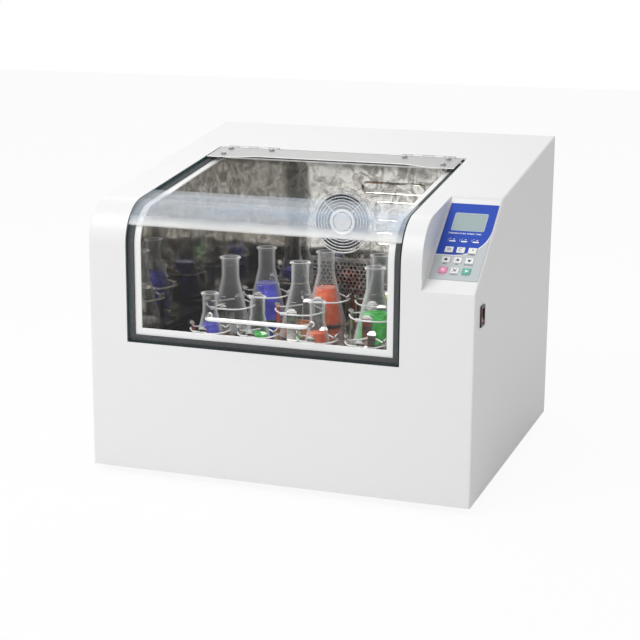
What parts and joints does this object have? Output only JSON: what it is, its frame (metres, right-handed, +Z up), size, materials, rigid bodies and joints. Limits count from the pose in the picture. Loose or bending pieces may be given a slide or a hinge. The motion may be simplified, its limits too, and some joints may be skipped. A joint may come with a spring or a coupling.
{
  "type": "incubated benchtop shaker",
  "caption": "Incubated benchtop shaker: bent clear lid on a sloping white cabinet, orbiting tray of wire-clamped flasks in a steel chamber, sloping keypad console and side rocker.",
  "frame": {"origin": "middle of the whole envelope on the bench top, under the feet", "axes": "+X to the right seen from the front, +Y to the back, +Z up; the lid's pull faces -Y"},
  "size_m": [0.7226, 0.674, 0.59],
  "materials": {
    "cabinet_white": "satin powder coat",
    "pan_grey": "satin paint",
    "seat_white": "smooth moulded",
    "gasket_grey": "matt foam rubber",
    "liner_steel": "bright polished sheet",
    "mat_wool": "loose mineral-wool mat",
    "foot_rubber": "matt rubber",
    "drive_grey": "hammered paint",
    "motor_dark": "satin paint",
    "housing_iron": "machined casting",
    "shaft_steel": "ground steel",
    "pulley_alu": "turned",
    "belt_rubber": "matt rubber",
    "weight_iron": "as cast",
    "carriage_alu": "milled",
    "tray_steel": "brushed sheet",
    "knob_black": "moulded",
    "clamp_steel": "bright spring steel",
    "flask_glass": "clear laboratory glass",
    "liquid_blue": "dyed liquid",
    "liquid_green": "dyed liquid",
    "liquid_orange": "dyed liquid",
    "liquid_amber": "dyed liquid",
    "liquid_yellow": "dyed liquid",
    "lid_clear": "clear polished sheet",
    "handle_chrome": "polished",
    "strip_steel": "bright sheet",
    "screw_steel": "polished",
    "hinge_steel": "rolled",
    "guard_chrome": "plated wire",
    "fan_plastic": "moulded",
    "heater_alu": "pressed fins",
    "panel_blue": "printed membrane",
    "window_grey": "display window",
    "board_green": "circuit board",
    "key_white": "moulded",
    "key_pink": "moulded",
    "key_green": "moulded",
    "bezel_black": "moulded",
    "rocker_red": "moulded",
    "supply_steel": "folded sheet"
  },
  "bodies": {
    "cabinet": {"cabinet_shell": "cabinet_white", "base_pan": "pan_grey", "rear_panel": "cabinet_white", "feet": "foot_rubber", "lid_frame": "seat_white", "lid_gasket": "gasket_grey", "chamber_liner": "liner_steel", "insulation": "mat_wool", "drive_base": "drive_grey", "drive_motor": "motor_dark", "drive_belt": "belt_rubber", "main_bearing": "housing_iron", "idler_bearings": "housing_iron", "fan_guard": "guard_chrome", "fan_motor": "fan_plastic", "heater_block": "heater_alu", "temperature_probe": "shaft_steel", "air_grille": "liner_steel", "console_panel": "panel_blue", "lcd_window": "window_grey", "rocker_bezel": "bezel_black", "control_board": "board_green", "power_supply": "supply_steel", "power_inlet": "bezel_black", "hinge_leaf": "hinge_steel", "hinge_pin": "shaft_steel"},
    "lid": {"lid_sheet": "lid_clear", "lid_handle": "handle_chrome", "lid_hinge_strip": "strip_steel", "lid_screws": "screw_steel"},
    "main_crank": {"main_crank_shaft": "shaft_steel", "driven_pulley": "pulley_alu", "counterweight": "weight_iron"},
    "motor_pulley": {"motor_pulley": "pulley_alu"},
    "idler_1": {"idler_shaft_1": "shaft_steel"},
    "idler_2": {"idler_shaft_2": "shaft_steel"},
    "platform": {"carriage_frame": "carriage_alu", "tray": "tray_steel", "tray_knobs": "knob_black", "clamps_large": "clamp_steel", "clamps_small": "clamp_steel", "flasks_large": "flask_glass", "flasks_small": "flask_glass", "liquid_blue": "liquid_blue", "liquid_green": "liquid_green", "liquid_orange": "liquid_orange", "liquid_amber": "liquid_amber", "liquid_yellow": "liquid_yellow"},
    "fan_impeller": {"fan_impeller": "fan_plastic"},
    "rocker": {"rocker": "rocker_red"},
    "mode_key": {"key_mode": "key_white"},
    "speed_key": {"key_speed": "key_white"},
    "timer_key": {"key_timer": "key_white"},
    "round_key": {"key_round": "key_white"},
    "up_key": {"key_up": "key_white"},
    "down_key": {"key_down": "key_white"},
    "stop_key": {"key_stop": "key_pink"},
    "light_key": {"key_light": "key_white"},
    "start_key": {"key_start": "key_green"}
  },
  "joints": [
    {"name": "lid_hinge", "type": "hinge", "parent": "cabinet", "child": "lid", "pos_m": [-0.02975, 0.134, 0.56147], "axis": [-1, 0, 0], "range_deg": [0, 85]},
    {"name": "crank_spin", "type": "hinge", "parent": "cabinet", "child": "main_crank", "pos_m": [-0.02525, 0.013, 0.12], "axis": [0, 0, 1], "continuous": true},
    {"name": "platform_orbit", "type": "hinge", "parent": "main_crank", "child": "platform", "pos_m": [-0.01525, 0.013, 0.204], "axis": [0, 0, 1], "continuous": true},
    {"name": "idler_1_spin", "type": "hinge", "parent": "cabinet", "child": "idler_1", "pos_m": [-0.17525, -0.177, 0.12], "axis": [0, 0, 1], "continuous": true},
    {"name": "idler_2_spin", "type": "hinge", "parent": "cabinet", "child": "idler_2", "pos_m": [0.12475, -0.177, 0.12], "axis": [0, 0, 1], "continuous": true},
    {"name": "motor_spin", "type": "hinge", "parent": "cabinet", "child": "motor_pulley", "pos_m": [0.12475, 0.013, 0.125], "axis": [0, 0, 1], "continuous": true},
    {"name": "fan_spin", "type": "hinge", "parent": "cabinet", "child": "fan_impeller", "pos_m": [-0.02925, 0.164, 0.42], "axis": [0, 1, 0], "continuous": true},
    {"name": "rocker_tilt", "type": "hinge", "parent": "cabinet", "child": "rocker", "pos_m": [0.35195, -0.254, 0.345], "axis": [0, 1, 0], "range_deg": [0, 14]},
    {"name": "mode_key_press", "type": "slide", "parent": "cabinet", "child": "mode_key", "axis": [0, 0.5875, -0.8092], "range_m": [0, 0.0004], "stiffness_N_per_m": 300, "springref_m": -0.0002},
    {"name": "speed_key_press", "type": "slide", "parent": "cabinet", "child": "speed_key", "axis": [0, 0.5875, -0.8092], "range_m": [0, 0.0004], "stiffness_N_per_m": 300, "springref_m": -0.0002},
    {"name": "timer_key_press", "type": "slide", "parent": "cabinet", "child": "timer_key", "axis": [0, 0.5875, -0.8092], "range_m": [0, 0.0004], "stiffness_N_per_m": 300, "springref_m": -0.0002},
    {"name": "round_key_press", "type": "slide", "parent": "cabinet", "child": "round_key", "axis": [0, 0.5875, -0.8092], "range_m": [0, 0.0004], "stiffness_N_per_m": 300, "springref_m": -0.0002},
    {"name": "up_key_press", "type": "slide", "parent": "cabinet", "child": "up_key", "axis": [0, 0.5875, -0.8092], "range_m": [0, 0.0004], "stiffness_N_per_m": 300, "springref_m": -0.0002},
    {"name": "down_key_press", "type": "slide", "parent": "cabinet", "child": "down_key", "axis": [0, 0.5875, -0.8092], "range_m": [0, 0.0004], "stiffness_N_per_m": 300, "springref_m": -0.0002},
    {"name": "stop_key_press", "type": "slide", "parent": "cabinet", "child": "stop_key", "axis": [0, 0.5875, -0.8092], "range_m": [0, 0.0004], "stiffness_N_per_m": 300, "springref_m": -0.0002},
    {"name": "light_key_press", "type": "slide", "parent": "cabinet", "child": "light_key", "axis": [0, 0.5875, -0.8092], "range_m": [0, 0.0004], "stiffness_N_per_m": 300, "springref_m": -0.0002},
    {"name": "start_key_press", "type": "slide", "parent": "cabinet", "child": "start_key", "axis": [0, 0.5875, -0.8092], "range_m": [0, 0.0004], "stiffness_N_per_m": 300, "springref_m": -0.0002}
  ],
  "couplings": [
    {"joint": "platform_orbit", "follows": "crank_spin", "ratio": -1},
    {"joint": "idler_1_spin", "follows": "crank_spin", "ratio": 1},
    {"joint": "idler_2_spin", "follows": "crank_spin", "ratio": 1},
    {"joint": "motor_spin", "follows": "crank_spin", "ratio": 4}
  ]
}
